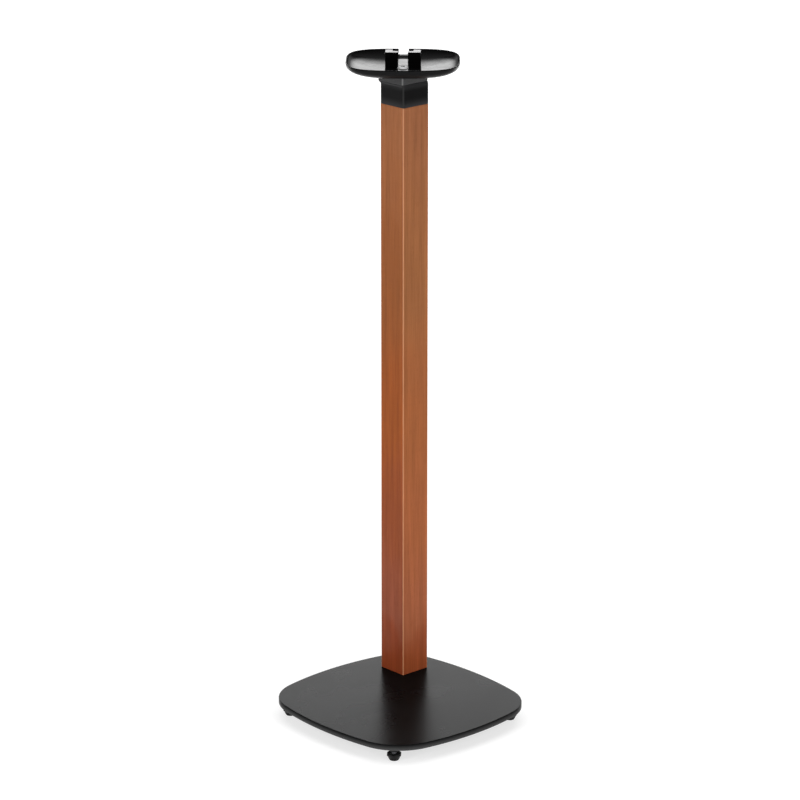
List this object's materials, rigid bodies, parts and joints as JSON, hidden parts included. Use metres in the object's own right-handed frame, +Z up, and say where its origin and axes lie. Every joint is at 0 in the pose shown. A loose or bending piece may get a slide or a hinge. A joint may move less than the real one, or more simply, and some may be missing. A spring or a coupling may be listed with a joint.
{
  "type": "speaker stand",
  "caption": "Floor stand for a small speaker: bowed square steel plate on screw feet, square wooden post at its back, and a shallow tray with upright prongs and a cable notch.",
  "frame": {"origin": "on the floor, under the middle of the overall width and depth", "axes": "+Z up along the post; -Y is the front, where a corner of the plate points; +X is the stand's right side as seen from the front"},
  "size_m": [0.3006, 0.3208, 0.814],
  "materials": {
    "plate_coating": "satin black powder coating",
    "head_coating": "satin black powder coating",
    "tray_coating": "smooth satin black coating",
    "post_wood": "satin-lacquered reddish-brown veneer with a fine upright grain",
    "plated_steel": "zinc-plated steel",
    "inner_steel": "plain turned steel",
    "black_bolt": "black-coated steel",
    "glide_plastic": "satin black plastic",
    "pad_rubber": "matt black rubber",
    "prong_plastic": "semi-gloss black plastic"
  },
  "bodies": {
    "stand": {"base_plate": "plate_coating", "foot_bushes": "plated_steel", "post_spigot": "inner_steel", "spigot_screws": "inner_steel", "post_board_front_right": "post_wood", "post_board_back_right": "post_wood", "post_board_back_left": "post_wood", "post_board_front_left": "post_wood", "tie_rod": "plated_steel", "rod_nut": "plated_steel", "rod_washer": "plated_steel", "collar": "head_coating", "tray_block": "head_coating", "tray": "tray_coating", "tray_bolt": "black_bolt", "tray_pins": "inner_steel", "prong_left": "prong_plastic", "prong_right": "prong_plastic", "prong_screws": "inner_steel"},
    "foot_front_screw": {"foot_front_stud": "plated_steel"},
    "foot_front_foot": {"foot_front_glide": "glide_plastic", "foot_front_pad": "pad_rubber"},
    "foot_right_screw": {"foot_right_stud": "plated_steel"},
    "foot_right_foot": {"foot_right_glide": "glide_plastic", "foot_right_pad": "pad_rubber"},
    "foot_back_screw": {"foot_back_stud": "plated_steel"},
    "foot_back_foot": {"foot_back_glide": "glide_plastic", "foot_back_pad": "pad_rubber"},
    "foot_left_screw": {"foot_left_stud": "plated_steel"},
    "foot_left_foot": {"foot_left_glide": "glide_plastic", "foot_left_pad": "pad_rubber"}
  },
  "joints": [
    {"name": "foot_front_height", "type": "slide", "parent": "stand", "child": "foot_front_screw", "axis": [0, 0, 1], "range_m": [-0.004, 0.0015]},
    {"name": "foot_front_turn", "type": "hinge", "parent": "foot_front_screw", "child": "foot_front_foot", "pos_m": [0, -0.14577, 0.006], "axis": [0, 0, 1], "range_deg": [-1440.5, 540.5]},
    {"name": "foot_right_height", "type": "slide", "parent": "stand", "child": "foot_right_screw", "axis": [0, 0, 1], "range_m": [-0.004, 0.0015]},
    {"name": "foot_right_turn", "type": "hinge", "parent": "foot_right_screw", "child": "foot_right_foot", "pos_m": [0.13576, -0.01, 0.006], "axis": [0, 0, 1], "range_deg": [-1440.5, 540.5]},
    {"name": "foot_back_height", "type": "slide", "parent": "stand", "child": "foot_back_screw", "axis": [0, 0, 1], "range_m": [-0.004, 0.0015]},
    {"name": "foot_back_turn", "type": "hinge", "parent": "foot_back_screw", "child": "foot_back_foot", "pos_m": [0, 0.12576, 0.006], "axis": [0, 0, 1], "range_deg": [-1440.5, 540.5]},
    {"name": "foot_left_height", "type": "slide", "parent": "stand", "child": "foot_left_screw", "axis": [0, 0, 1], "range_m": [-0.004, 0.0015]},
    {"name": "foot_left_turn", "type": "hinge", "parent": "foot_left_screw", "child": "foot_left_foot", "pos_m": [-0.13576, -0.01, 0.006], "axis": [0, 0, 1], "range_deg": [-1440.5, 540.5]}
  ],
  "couplings": [
    {"joint": "foot_front_turn", "follows": "foot_front_height", "rad_per_m": 6283.2},
    {"joint": "foot_right_turn", "follows": "foot_right_height", "rad_per_m": 6283.2},
    {"joint": "foot_back_turn", "follows": "foot_back_height", "rad_per_m": 6283.2},
    {"joint": "foot_left_turn", "follows": "foot_left_height", "rad_per_m": 6283.2}
  ]
}
